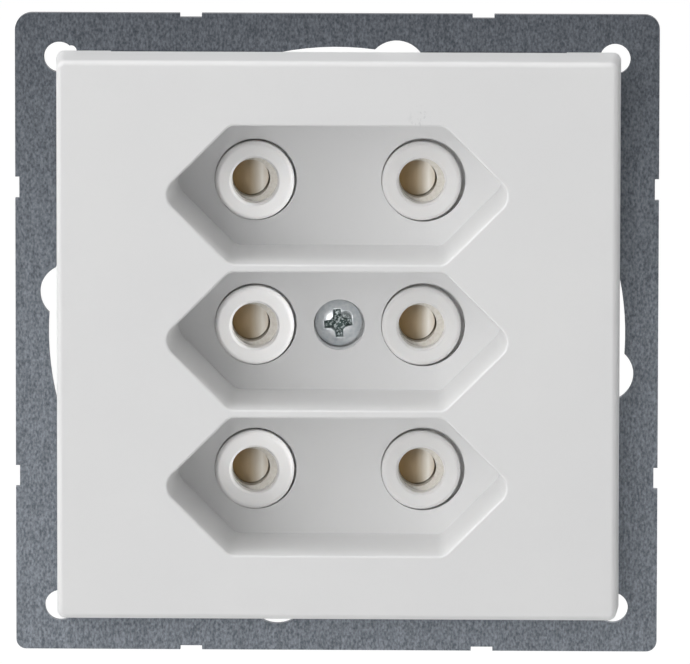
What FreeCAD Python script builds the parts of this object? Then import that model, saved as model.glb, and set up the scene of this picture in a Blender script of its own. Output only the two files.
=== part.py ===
import FreeCAD, Part
import math
import os
import re

import Sketcher
from FreeCAD import Placement, Rotation, Vector

# A flush wall socket for three flat two-pin plugs, without its surround.
# Millimetres. X runs to the right, Y into the wall and Z up.
# The origin is the centre of the support frame's back face, on the wall plane.

SIZES = (
    ("frame_side", 71.0, "support frame, side of the square"),
    ("frame_thick", 1.0, "support frame, sheet"),
    ("corner_top_left", 1.9, "support frame, radius of its upper left corner"),
    ("corner_top_right", 1.65, "the same, upper right"),
    ("corner_bottom_left", 1.1, "the same, lower left"),
    ("corner_bottom_right", 1.2, "the same, lower right"),
    ("corner_hole_radius", 1.7, "support frame, corner holes"),
    ("corner_hole_inset", 4.9, "corner holes, from the frame's edges"),
    ("nick_radius", 0.6, "punch nick beside the upper left corner hole"),
    ("nick_across", 1.3, "the same, from the hole"),
    ("nick_up", 0.7, "the same, from the hole"),
    ("slot_circle", 30.0, "circle of the box screws"),
    ("slot_half", 1.85, "box screw slots, half width"),
    ("slot_angle", 17.0, "box screw slots, half length in degrees"),
    ("head_lobe_radius", 3.3, "round end that lets a box screw's head through, upper and lower"),
    ("head_lobe_angle", 12.6, "its angle from the vertical axis"),
    ("side_lobe_radius", 3.1, "the same at the sides"),
    ("side_lobe_angle", 8.5, "its angle from the horizontal axis"),
    ("notch_offset", 16.1, "edge notches, from each axis"),
    ("notch_width", 2.4, "edge notches, along the edge"),
    ("notch_depth", 0.45, "edge notches, into the sheet"),
    ("opening_gap", 0.7, "round the cover's wells, in the frame's opening"),
    ("opening_corner", 2.0, "frame opening, corner radius"),
    ("cover_wide", 62.2, "cover, width at its back edge"),
    ("cover_tall", 62.56, "cover, height at its back edge"),
    ("cover_draft", 0.3, "cover, how much each side leans in"),
    ("cover_proud", 6.8, "cover, front face ahead of the frame"),
    ("cover_corner", 0.9, "cover, corner radius seen from the front"),
    ("cover_edge", 0.6, "cover, rounding of the front edge"),
    ("cover_wall", 1.8, "cover, side walls"),
    ("face_wall", 2.0, "cover, front wall"),
    ("skirt_gap", 0.4, "cover, relief between the side walls and the frame"),
    ("foot_length", 6.0, "cover, feet at the corners that rest on the frame"),
    ("cover_play", 0.16, "cover, how far it sits to the right in its play"),
    ("cover_lift", 0.05, "the same, upwards"),
    ("row_pitch", 16.2, "recess rows"),
    ("rim_half", 7.66, "recess, half height at the rim"),
    ("rim_flat", 11.8, "recess, half length of its straight sides at the rim"),
    ("rim_edge", 0.25, "recess, rounding of the rim"),
    ("recess_depth", 12.9, "recess, from the front face to its floor"),
    ("wall_draft", 0.4, "recess, how much its straight sides lean in"),
    ("tip_draft", 0.8, "recess, how far each pointed end draws in"),
    ("tip_round", 1.95, "recess, rounding of the pointed ends"),
    ("shoulder_round", 1.4, "recess, rounding of the other corners"),
    ("well_wall", 1.2, "cover, walls round the recesses"),
    ("floor_wall", 1.6, "cover, floor of the recesses"),
    ("collar_hole_gap", 0.165, "cover, round the left collars"),
    ("collar_hole_wider", 0.1, "the same, how much wider it is round the right ones"),
    ("collar_hole_pitch", 18.58, "cover, holes for the collars"),
    ("collar_hole_up", 0.1, "cover, how far these holes stand above the collars"),
    ("screw_well_radius", 2.85, "cover, counterbore of the fixing screw"),
    ("screw_well_depth", 3.2, "the same, depth below the floor"),
    ("screw_post_radius", 4.0, "cover, post round the fixing screw"),
    ("screw_seat_wall", 0.9, "cover, wall below the screw's head"),
    ("screw_way_gap", 0.24, "round the cover screw, in the cover and the housing"),
    ("post_clear", 0.25, "round the cover's post, in the housing"),
    ("pin_pitch", 18.5, "collars and contacts"),
    ("collar_radius", 4.4, "collars"),
    ("collar_proud", 0.5, "collars, ahead of the recess floor"),
    ("collar_round", 0.55, "collars, rounded edge"),
    ("pin_bore_radius", 2.55, "collars, bore"),
    ("pin_bore_edge", 0.25, "collars, chamfer of the bore"),
    ("body_room", 5.0, "housing, from the contact carrier's ends to its flats"),
    ("body_cut", 14.0, "housing, cut of its corners"),
    ("housing_wall", 2.0, "front housing, front wall"),
    ("skin", 1.6, "front housing, side walls"),
    ("ear_clear", 0.15, "front housing, from its ears to the box screw slots"),
    ("ear_half", 12.0, "ears, half height"),
    ("ear_thick", 2.4, "ears"),
    ("ear_web", 1.8, "webs that join the ears to the housing"),
    ("rivet_room", 0.4, "between the webs and the rivets"),
    ("rivet_inset", 2.3, "frame rivets, from the frame opening"),
    ("rivet_up", 9.6, "frame rivets, from the horizontal axis"),
    ("rivet_radius", 1.2, "frame rivets, shank"),
    ("rivet_head", 1.75, "frame rivets, head radius"),
    ("rivet_crown", 0.6, "frame rivets, head height"),
    ("fit_gap", 0.05, "clearance round pressed and riveted pieces"),
    ("nose_radius", 3.0, "contact carrier, noses that enter the collars"),
    ("nose_gap", 0.5, "round the noses"),
    ("carrier_play", 0.42, "contact carrier, how far it sits to the left in its play"),
    ("carrier_depth", 11.3, "contact carrier, block"),
    ("carrier_side", 3.55, "contact carrier, beyond the axes of its holes at the sides"),
    ("carrier_end", 3.8, "the same, above and below"),
    ("carrier_corner", 3.0, "contact carrier, corner radius"),
    ("pin_hole_radius", 2.1, "contact carrier, holes in the noses"),
    ("pin_hole_length", 1.6, "the same, length"),
    ("chamber_gap", 0.3, "round the contact sleeves"),
    ("sleeve_set", 0.1, "contact sleeves, behind the holes"),
    ("post_radius", 5.4, "front housing, post round the threaded bush"),
    ("post_gap", 0.3, "round that post, in the carrier"),
    ("post_length", 6.6, "the same post, length"),
    ("bush_radius", 2.5, "threaded bush"),
    ("bush_length", 4.8, "threaded bush"),
    ("screw_radius", 1.5, "cover screw, thread"),
    ("screw_length", 9.0, "cover screw, below its head"),
    ("head_radius", 2.6, "cover screw, head"),
    ("head_height", 1.9, "cover screw, head"),
    ("head_round", 1.2, "cover screw, rounding of the head"),
    ("drive_width", 0.85, "screw drives, width of the cross and the slot"),
    ("drive_reach", 1.45, "screw drives, half length of the cross"),
    ("drive_depth", 1.1, "screw drives, depth of the cross"),
    ("drive_turn", 6.0, "cover screw, how far its cross stands to the left, in degrees"),
    ("thread_gap", 0.08, "round the screws"),
    ("sleeve_inside", 1.9, "contact sleeves, inner radius"),
    ("sleeve_wall", 0.5, "contact sleeves"),
    ("sleeve_mouth", 0.35, "contact sleeves, flare of the mouth"),
    ("sleeve_flare", 0.7, "the same, its depth"),
    ("sleeve_slit", 0.5, "contact sleeves, width of the spring slits"),
    ("sleeve_root", 3.0, "contact sleeves, unslit length at the rail"),
    ("tongue_radius", 2.0, "contact sleeves, spring tongue across the mouth"),
    ("tongue_shift", 0.12, "the same, to the left"),
    ("tongue_thick", 0.3, "the same, sheet"),
    ("tongue_root", 0.9, "the same, half width where it joins the sleeve"),
    ("tongue_reach", 2.35, "the same, where it joins, from the sleeve's axis"),
    ("neck_wall", 0.3, "contact sleeves, wall of the riveted neck"),
    ("rail_thick", 0.8, "contact rails"),
    ("rail_bend", 0.7, "contact rails, outer radius of the bend"),
    ("rail_half", 3.4, "contact rails, half width"),
    ("rail_end", 3.2, "contact rails, beyond the outer sleeves"),
    ("rail_corner", 1.2, "contact rails, corner radius"),
    ("tab_room", 3.6, "terminal tabs, from the contact carrier"),
    ("tab_half", 4.4, "terminal tabs, half height"),
    ("tab_foot_gap", 0.3, "terminal tabs, to the front wall"),
    ("wire_gap", 2.6, "terminals, room for the wires"),
    ("clamp_thick", 1.0, "clamp plates"),
    ("clamp_half", 4.2, "clamp plates, half height"),
    ("clamp_depth", 7.6, "clamp plates, along the wires"),
    ("terminal_screw_radius", 1.75, "terminal screws, thread"),
    ("terminal_screw_tip", 1.4, "terminal screws, beyond the tab"),
    ("terminal_head_radius", 2.9, "terminal screws, head"),
    ("terminal_head_height", 2.0, "terminal screws, head"),
    ("terminal_head_edge", 0.66, "the same, chamfer"),
    ("terminal_inset", 5.8, "terminal screws, ahead of the joint between the housings"),
    ("window_gap", 0.4, "round the terminal screws' heads"),
    ("rear_depth", 5.8, "rear housing, plate"),
    ("rear_edge", 1.0, "rear housing, chamfer of the back edge"),
    ("lip_depth", 2.0, "rear housing, lip inside the front housing"),
    ("lip_wall", 1.2, "rear housing, lip"),
    ("lip_gap", 0.1, "round the lip"),
    ("pin_pocket_radius", 2.5, "rear housing, room for the tips of the pins"),
    ("pin_pocket_depth", 3.8, "the same, depth"),
    ("wire_hole_radius", 1.5, "rear housing, wire entries"),
    ("wire_hole_up", 3.3, "wire entries, from the horizontal axis"),
    ("wire_room_half", 3.4, "rear housing, room behind the terminals, half width"),
    ("wire_room_tall", 6.2, "the same, half height"),
    ("wire_room_depth", 3.0, "the same, depth"),
    ("boss_room", 1.4, "housing screw bosses, from the contact carrier"),
    ("boss_inset", 4.1, "the same, from the housing's cut corners"),
    ("boss_radius", 2.4, "front housing, bosses for the housing screws"),
    ("pilot_depth", 8.0, "the same, pilot holes"),
    ("housing_screw_radius", 1.1, "housing screws, thread"),
    ("housing_screw_gap", 0.16, "round them, in the rear housing"),
    ("housing_head_radius", 2.1, "housing screws, head"),
    ("housing_head_height", 1.5, "housing screws, head"),
    ("housing_head_edge", 0.5, "the same, chamfer"),
    ("housing_head_gap", 0.4, "round the housing screws' heads"),
)

ROWS = {"top": 1, "middle": 0, "bottom": -1}
SIDES = {"left": -1, "right": 1}

# Depths behind the wall plane, worked out from the sizes.
FRAME_FRONT = "-frame_thick"
FACE = "(-frame_thick - cover_proud)"
FLOOR = f"({FACE} + recess_depth)"
SEAT = f"({FLOOR} + floor_wall)"
COLLAR_FACE = f"({FLOOR} - collar_proud)"
WALL_BACK = f"({SEAT} + housing_wall)"
CARRIER_BACK = f"({WALL_BACK} + carrier_depth)"
SPLIT = f"({CARRIER_BACK} + rail_thick)"
REAR = f"({SPLIT} + rear_depth)"
SCREW_SEAT = f"({FLOOR} + screw_well_depth)"
PIN_HOLE_END = f"({SEAT} + pin_hole_length)"
TERMINAL = f"({SPLIT} - terminal_inset)"

# Distances across, worked out from the sizes.
RIM_TIP = "(rim_flat + rim_half)"
FLOOR_TIP = f"({RIM_TIP} - tip_draft)"
FLOOR_HALF = "(rim_half - wall_draft)"
WELL_TIP = f"({RIM_TIP} + well_wall * sqrt(2))"
WELL_HALF = "(rim_half + well_wall)"
OPENING_ACROSS = f"({WELL_TIP} + opening_gap)"
OPENING_UP = f"(row_pitch + {WELL_HALF} + opening_gap)"
CARRIER_HALF = "(pin_pitch / 2 + carrier_side)"
CARRIER_TALL = "(row_pitch + carrier_end)"
BODY_HALF = f"({CARRIER_TALL} + body_room)"
BODY_FLAT = f"({BODY_HALF} - body_cut)"
BOSS_ACROSS = f"({CARRIER_HALF} + boss_room + boss_radius)"
BOSS_UP = f"({BODY_HALF} + {BODY_FLAT} - {BOSS_ACROSS} - boss_inset)"
TAB_ACROSS = f"({CARRIER_HALF} + tab_room)"
TAB_OUTER = f"({TAB_ACROSS} + rail_thick)"
CLAMP_INNER = f"({TAB_OUTER} + wire_gap)"
CLAMP_OUTER = f"({CLAMP_INNER} + clamp_thick)"
CORNER_HOLE = "(frame_side / 2 - corner_hole_inset)"
EAR_RADIUS = "(slot_circle - slot_half - ear_clear)"
RIVET_ACROSS = f"({OPENING_ACROSS} + rivet_inset)"
WEB_HALF = "(rivet_up - rivet_head - rivet_room)"
SLEEVE_OUTSIDE = "(sleeve_inside + sleeve_wall)"
NECK_OUTSIDE = "(sleeve_inside + neck_wall)"

doc = FreeCAD.newDocument("wall_socket")
sheet = doc.addObject("Spreadsheet::Sheet", "Sizes")
for line, (name, number, note) in enumerate(SIZES, 1):
    sheet.set(f"A{line}", name)
    sheet.set(f"B{line}", str(number))
    sheet.set(f"C{line}", note)
    sheet.setAlias(f"B{line}", name)
doc.recompute()

NAMES = {size[0] for size in SIZES}
MOVED = {}


def tied(text):
    """The expression as other objects read it, with the sheet named before each size."""
    return re.sub(r"[a-z_]+", lambda word: f"Sizes.{word[0]}" if word[0] in NAMES else word[0], text)


def value(text):
    """What an expression comes to now."""
    return float(sheet.evalExpression(text))


# Sketches

def hold(sketch, kind, *target, size):
    """Add a constraint and tie it to the sheet."""
    index = sketch.addConstraint(Sketcher.Constraint(kind, *target, value(size)))
    sketch.setExpression(f"Constraints[{index}]", tied(size))


def place(sketch, edge, end, across, up):
    """Place one point of an edge from the sketch's origin."""
    hold(sketch, "DistanceX", -1, 1, edge, end, size=across)
    hold(sketch, "DistanceY", -1, 1, edge, end, size=up)


def circle(radius, across="0", up="0"):
    """A circle about a point."""
    def draw(sketch):
        centre = Vector(value(across), value(up), 0)
        edge = sketch.addGeometry(Part.Circle(centre, Vector(0, 0, 1), value(radius)), False)
        place(sketch, edge, 3, across, up)
        hold(sketch, "Radius", edge, size=radius)
    return draw


def polygon(*corners):
    """A closed outline of straight edges."""
    def draw(sketch):
        points = [Vector(value(across), value(up), 0) for across, up in corners]
        edges = [
            sketch.addGeometry(Part.LineSegment(start, end), False)
            for start, end in zip(points, points[1:] + points[:1])
        ]
        for edge, following in zip(edges, edges[1:] + edges[:1]):
            sketch.addConstraint(Sketcher.Constraint("Coincident", edge, 2, following, 1))
        for edge, (across, up) in zip(edges, corners):
            place(sketch, edge, 1, across, up)
    return draw


def rectangle(left, right, low, high):
    return polygon((left, low), (right, low), (right, high), (left, high))


def oblong(half_across, half_up):
    """A rectangle about the origin."""
    return rectangle(f"-{half_across}", half_across, f"-{half_up}", half_up)


def hexagon(tip, flat, half, up):
    """The flat plug's outline: two straight sides and two pointed ends."""
    return polygon(
        (f"-{tip}", up), (f"-{flat}", f"{up} - {half}"), (flat, f"{up} - {half}"),
        (tip, up), (flat, f"{up} + {half}"), (f"-{flat}", f"{up} + {half}"),
    )


def octagon(inset):
    """The housing's outline, drawn in by the inset on every side."""
    half = f"({BODY_HALF} - {inset})"
    short = f"({BODY_FLAT} - {inset} * tan(22.5))"
    return polygon(
        (f"-{short}", f"-{half}"), (short, f"-{half}"), (half, f"-{short}"), (half, short),
        (short, half), (f"-{short}", half), (f"-{half}", short), (f"-{half}", f"-{short}"),
    )


def arc_slot(radius, half_width, half_angle):
    """A slot along an arc about the origin, its middle on the vertical axis."""
    def draw(sketch):
        reach, half, turn = value(radius), value(half_width), math.radians(value(half_angle))
        upright = math.pi / 2
        edges = []
        for distance in (reach + half, reach - half):
            round_line = Part.Circle(Vector(), Vector(0, 0, 1), distance)
            arc = Part.ArcOfCircle(round_line, upright - turn, upright + turn)
            edges.append(sketch.addGeometry(arc, False))
        outer, inner = edges
        ends = []
        for side, first in ((1, upright + turn), (-1, upright - turn - math.pi)):
            angle = upright + side * turn
            centre = Vector(reach * math.cos(angle), reach * math.sin(angle), 0)
            cap = Part.ArcOfCircle(Part.Circle(centre, Vector(0, 0, 1), half), first, first + math.pi)
            ends.append(sketch.addGeometry(cap, False))
        left, right = ends
        for edge, distance in ((outer, f"({radius} + {half_width})"), (inner, f"({radius} - {half_width})")):
            sketch.addConstraint(Sketcher.Constraint("Coincident", edge, 3, -1, 1))
            hold(sketch, "Radius", edge, size=distance)
            hold(sketch, "DistanceX", -1, 1, edge, 1, size=f"{distance} * sin({half_angle})")
            hold(sketch, "DistanceX", -1, 1, edge, 2, size=f"-{distance} * sin({half_angle})")
        for first, second in (((outer, 2), (left, 1)), ((outer, 1), (right, 2)),
                              ((inner, 2), (left, 2)), ((inner, 1), (right, 1))):
            sketch.addConstraint(Sketcher.Constraint("Coincident", *first, *second))
        hold(sketch, "DistanceX", -1, 1, left, 3, size=f"-{radius} * sin({half_angle})")
        hold(sketch, "DistanceX", -1, 1, right, 3, size=f"{radius} * sin({half_angle})")
    return draw


def ear(inner, radius, half):
    """A land with a straight inner edge and a round outer one."""
    def draw(sketch):
        left, reach, tall = value(inner), value(radius), value(half)
        right = math.sqrt(reach ** 2 - tall ** 2)
        turn = math.asin(tall / reach)
        spots = ((right, tall), (left, tall), (left, -tall), (right, -tall))
        corners = [Vector(across, up, 0) for across, up in spots]
        top, back, low = [
            sketch.addGeometry(Part.LineSegment(start, end), False)
            for start, end in zip(corners, corners[1:])
        ]
        rim = Part.ArcOfCircle(Part.Circle(Vector(), Vector(0, 0, 1), reach), -turn, turn)
        rim = sketch.addGeometry(rim, False)
        loop = (top, back, low, rim)
        for edge, following in zip(loop, loop[1:] + loop[:1]):
            sketch.addConstraint(Sketcher.Constraint("Coincident", edge, 2, following, 1))
        sketch.addConstraint(Sketcher.Constraint("Coincident", rim, 3, -1, 1))
        sketch.addConstraint(Sketcher.Constraint("Horizontal", top))
        sketch.addConstraint(Sketcher.Constraint("Horizontal", low))
        hold(sketch, "Radius", rim, size=radius)
        place(sketch, back, 1, inner, half)
        place(sketch, back, 2, inner, f"-{half}")
    return draw


# Features

def new_body(label):
    body = doc.addObject("PartDesign::Body", label)
    body.Label = label
    return body


def origin_part(body, role):
    return next(part for part in body.Origin.OriginFeatures if part.Role == role)


def sketch_on(body, name, plane, distance, outlines):
    """A sketch on one of the body's own planes, moved along the plane's normal."""
    sketch = body.newObject("Sketcher::SketchObject", name)
    sketch.AttachmentSupport = [(origin_part(body, plane), "")]
    sketch.MapMode = "FlatFace"
    sketch.setExpression("AttachmentOffset.Base.z", tied(distance))
    for draw in outlines:
        draw(sketch)
    return sketch


def pad(body, name, front, back, *outlines, lean="0"):
    """Material between two depths. Its sides lean out by an angle as it goes forward."""
    sketch = sketch_on(body, f"{name}_sketch", "XZ_Plane", f"-({back})", outlines)
    feature = body.newObject("PartDesign::Pad", name)
    feature.Profile = sketch
    feature.setExpression("Length", tied(f"({back}) - ({front})"))
    feature.setExpression("TaperAngle", tied(lean))
    return settled(body, feature, 1)


def pocket(body, name, front, back, *outlines):
    """A cut between two depths."""
    sketch = sketch_on(body, f"{name}_sketch", "XZ_Plane", f"-({front})", outlines)
    feature = body.newObject("PartDesign::Pocket", name)
    feature.Profile = sketch
    feature.setExpression("Length", tied(f"({back}) - ({front})"))
    return settled(body, feature, -1)


def side_pocket(body, name, middle, length, *outlines):
    """A cut along X, to both sides of a plane across X."""
    sketch = sketch_on(body, f"{name}_sketch", "YZ_Plane", middle, outlines)
    feature = body.newObject("PartDesign::Pocket", name)
    feature.Profile = sketch
    feature.SideType = "Symmetric"
    feature.setExpression("Length", tied(length))
    return settled(body, feature, -1)


def turned(body, name, *corners):
    """A turned form about the depth axis, from radii and depths."""
    sketch = sketch_on(body, f"{name}_sketch", "XY_Plane", "0", [polygon(*corners)])
    feature = body.newObject("PartDesign::Revolution", name)
    feature.Profile = sketch
    feature.ReferenceAxis = (sketch, ["V_Axis"])
    feature.Angle = 360
    return settled(body, feature, 1)


def around(body, name, original, count):
    """Copies of a cut about the depth axis."""
    feature = body.newObject("PartDesign::PolarPattern", name)
    feature.Originals = [original]
    feature.Axis = (origin_part(body, "Y_Axis"), [""])
    feature.Angle = 360
    feature.Occurrences = count
    body.Tip = feature
    return settled(body, feature, -1)


def mirrored(body, name, original, change):
    """The same on the other side of the vertical axis."""
    feature = body.newObject("PartDesign::Mirrored", name)
    feature.Originals = [original]
    feature.MirrorPlane = (origin_part(body, "YZ_Plane"), [""])
    body.Tip = feature
    return settled(body, feature, change)


def rounded(body, name, kind, size, wanted):
    """A fillet or chamfer on the edges of the last feature that are wanted."""
    base = body.Tip
    chosen = [f"Edge{number}" for number, edge in enumerate(base.Shape.Edges, 1) if wanted(edge)]
    feature = body.newObject(f"PartDesign::{kind}", name)
    feature.Base = (base, chosen)
    feature.setExpression("Radius" if kind == "Fillet" else "Size", tied(size))
    return settled(body, feature, 0)


def leaned(body, name, angle, wanted):
    """Draft on the walls that are wanted, which stay as they are at the front face."""
    base = body.Tip
    walls = [f"Face{number}" for number, face in enumerate(base.Shape.Faces, 1) if wanted(face)]
    front = next(f"Face{number}" for number, face in enumerate(base.Shape.Faces, 1)
                 if near(face.BoundBox.YMin, value(FACE)) and near(face.BoundBox.YMax, value(FACE)))
    feature = body.newObject("PartDesign::Draft", name)
    feature.Base = (base, walls)
    feature.NeutralPlane = (base, [front])
    feature.setExpression("Angle", tied(angle))
    for turned_round in (True, False):
        feature.Reversed = turned_round
        doc.recompute()
        feature.touch()
        doc.recompute()
        if feature.Shape.Volume > base.Shape.Volume:
            break
    return settled(body, feature, 1)


def settled(body, feature, change):
    """Recompute, and check that a feature adds or takes material as it should.

    The change is 1 for a feature that adds, -1 for one that cuts and 0 for one that does either.
    """
    before = MOVED.get(body.Name, 0.0)
    doc.recompute()
    after = feature.Shape.Volume
    if "Invalid" in feature.State or (after - before) * change < 0 or after == before:
        raise ValueError(f"{body.Label}: {feature.Label} left {after:.3f} mm3 of {before:.3f} mm3")
    MOVED[body.Name] = after
    return feature


def spans(edge):
    """The lowest and highest corner of an edge."""
    box = edge.BoundBox
    return Vector(box.XMin, box.YMin, box.ZMin), Vector(box.XMax, box.YMax, box.ZMax)


def near(first, second, reach=0.01):
    return abs(first - second) < reach


def along_depth(edge):
    """Whether an edge runs mostly into the wall."""
    low, high = spans(edge)
    return high.y - low.y > 2 * math.hypot(high.x - low.x, high.z - low.z)


def in_quarter(across, up):
    """A test for the edges along the depth in one quarter of the front view."""
    return lambda edge: (along_depth(edge) and edge.CenterOfMass.x * across > 0
                         and edge.CenterOfMass.z * up > 0)


def at_depth(edge, depth):
    low, high = spans(edge)
    return near(low.y, value(depth)) and near(high.y, value(depth))


def ring(edge, depth, radius):
    """Whether an edge is a circle of this radius at this depth."""
    return (at_depth(edge, depth) and edge.Curve.TypeId == "Part::GeomCircle"
            and near(edge.Curve.Radius, value(radius)))


def moved(body, across="0", depth="0", up="0", turn=None):
    """Place a body, turned first if it has to be."""
    if turn:
        body.Placement = Placement(Vector(), turn)
    for axis, size in (("x", across), ("y", depth), ("z", up)):
        body.setExpression(f"Placement.Base.{axis}", tied(size))


def contact_places(pitch):
    """The six contact places: name, distance across and distance up."""
    return [
        (f"{row}_{side}", f"{SIDES[side]} * {pitch} / 2", f"{ROWS[row]} * row_pitch")
        for row in ROWS for side in SIDES
    ]


def six(radius, pitch="pin_pitch"):
    """Six circles at the contact places."""
    return [circle(radius, across, up) for _, across, up in contact_places(pitch)]


def four(radius, across, up):
    """Four circles, one in each quarter."""
    return [circle(radius, f"{side}{across}", f"{height}{up}") for side in ("-", "") for height in ("-", "")]


# Support frame, punched from zinc-coated sheet steel

def make_support_frame():
    body = new_body("support_frame")
    half = "frame_side / 2"
    pad(body, "sheet", FRAME_FRONT, "0", oblong(f"({half})", f"({half})"))
    for across, side in ((-1, "left"), (1, "right")):
        for up, height in ((-1, "bottom"), (1, "top")):
            size = f"corner_{height}_{side}"
            rounded(body, f"{size}_round", "Fillet", size, in_quarter(across, up))
    pocket(body, "opening", FRAME_FRONT, "0", oblong(OPENING_ACROSS, OPENING_UP))
    inner = value(OPENING_UP)
    rounded(body, "opening_corners", "Fillet", "opening_corner",
            lambda edge: along_depth(edge) and near(abs(edge.CenterOfMass.z), inner))
    pocket(body, "corner_holes", FRAME_FRONT, "0",
           *four("corner_hole_radius", CORNER_HOLE, CORNER_HOLE))
    pocket(body, "nick", FRAME_FRONT, "0",
           circle("nick_radius", f"nick_across - {CORNER_HOLE}", f"{CORNER_HOLE} + nick_up"))
    slot = pocket(body, "slot", FRAME_FRONT, "0", arc_slot("slot_circle", "slot_half", "slot_angle"))
    around(body, "slots", slot, 4)
    head = pocket(body, "head_lobe", FRAME_FRONT, "0", circle(
        "head_lobe_radius", "slot_circle * sin(head_lobe_angle)", "slot_circle * cos(head_lobe_angle)"))
    around(body, "head_lobes", head, 2)
    side = pocket(body, "side_lobe", FRAME_FRONT, "0", circle(
        "side_lobe_radius", "slot_circle * cos(side_lobe_angle)", "-slot_circle * sin(side_lobe_angle)"))
    around(body, "side_lobes", side, 2)
    notches = [
        rectangle(f"{sign} * notch_offset - notch_width / 2", f"{sign} * notch_offset + notch_width / 2",
                  f"{half} - notch_depth", f"{half} + notch_depth")
        for sign in (-1, 1)
    ]
    notch = pocket(body, "notch", FRAME_FRONT, "0", *notches)
    around(body, "notches", notch, 4)
    pocket(body, "rivet_holes", FRAME_FRONT, "0", *four("rivet_radius + fit_gap", RIVET_ACROSS, "rivet_up"))
    return body


# Cover, moulded in one piece with its three wells

def make_cover():
    body = new_body("cover")
    across, up = "(cover_wide / 2)", "(cover_tall / 2)"
    pad(body, "shell", FACE, FRAME_FRONT, oblong(across, up), lean="-atan(cover_draft / cover_proud)")
    rounded(body, "shell_corners", "Fillet", "cover_corner", along_depth)
    inset = "(cover_draft + cover_wall)"
    pocket(body, "hollow", f"{FACE} + face_wall", FRAME_FRONT,
           oblong(f"({across} - {inset})", f"({up} - {inset})"))
    relief = f"{FRAME_FRONT} - skirt_gap"
    pocket(body, "skirt_relief", relief, FRAME_FRONT,
           oblong(f"({across} + skirt_gap)", f"({up} - foot_length)"))
    pocket(body, "skirt_relief_across", relief, FRAME_FRONT,
           oblong(f"({across} - foot_length)", f"({up} + skirt_gap)"))
    for row, sign in ROWS.items():
        pad(body, f"{row}_well", f"{FACE} + face_wall / 2", SEAT,
            hexagon(WELL_TIP, f"({WELL_TIP} - {WELL_HALF})", WELL_HALF, f"{sign} * row_pitch"))
    pad(body, "screw_post", f"{FLOOR} + floor_wall / 2", f"{SCREW_SEAT} + screw_seat_wall",
        circle("screw_post_radius"))
    recesses = [hexagon(RIM_TIP, "rim_flat", "rim_half", f"{sign} * row_pitch") for sign in ROWS.values()]
    pocket(body, "recesses", FACE, FLOOR, *recesses)
    deep = value("recess_depth")
    tip = value("rim_flat + tip_draft")

    def recess_wall(face):
        box = face.BoundBox
        return near(box.YMax - box.YMin, deep) and near(box.YMax, value(FLOOR))

    def straight(face):
        return near(abs(face.normalAt(0, 0).z), 1, 0.02)

    leaned(body, "straight_draft", "atan(wall_draft / recess_depth)",
           lambda face: recess_wall(face) and straight(face))
    leaned(body, "tip_draft", "atan(tip_draft / sqrt(2) / recess_depth)",
           lambda face: recess_wall(face) and not straight(face))

    def recess_corner(edge):
        low, high = spans(edge)
        return along_depth(edge) and near(high.y - low.y, deep)

    rounded(body, "recess_tips", "Fillet", "tip_round",
            lambda edge: recess_corner(edge) and abs(edge.CenterOfMass.x) > tip)
    rounded(body, "recess_shoulders", "Fillet", "shoulder_round",
            lambda edge: recess_corner(edge) and abs(edge.CenterOfMass.x) < tip)
    for side, wider in (("left", ""), ("right", " + collar_hole_wider")):
        holes = [
            circle(f"collar_radius + collar_hole_gap{wider}", across, f"{up} - cover_lift + collar_hole_up")
            for name, across, up in contact_places("collar_hole_pitch") if name.endswith(side)
        ]
        pocket(body, f"collar_holes_{side}", FLOOR, SEAT, *holes)
    pocket(body, "screw_well", FLOOR, SCREW_SEAT, circle("screw_well_radius"))
    pocket(body, "screw_hole", SCREW_SEAT, f"{SCREW_SEAT} + screw_seat_wall",
           circle("screw_radius + screw_way_gap"))
    limit = value("cover_wide / 2 - cover_draft - cover_wall")

    def outer_edge(edge):
        middle = edge.CenterOfMass
        return max(abs(middle.x), abs(middle.z)) > limit

    rounded(body, "front_edge", "Fillet", "cover_edge",
            lambda edge: at_depth(edge, FACE) and outer_edge(edge))
    rounded(body, "rims", "Fillet", "rim_edge", lambda edge: at_depth(edge, FACE) and not outer_edge(edge))
    moved(body, "cover_play", "0", "cover_lift")
    return body


# Front housing, with the six collars and the ears that carry the frame

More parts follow.
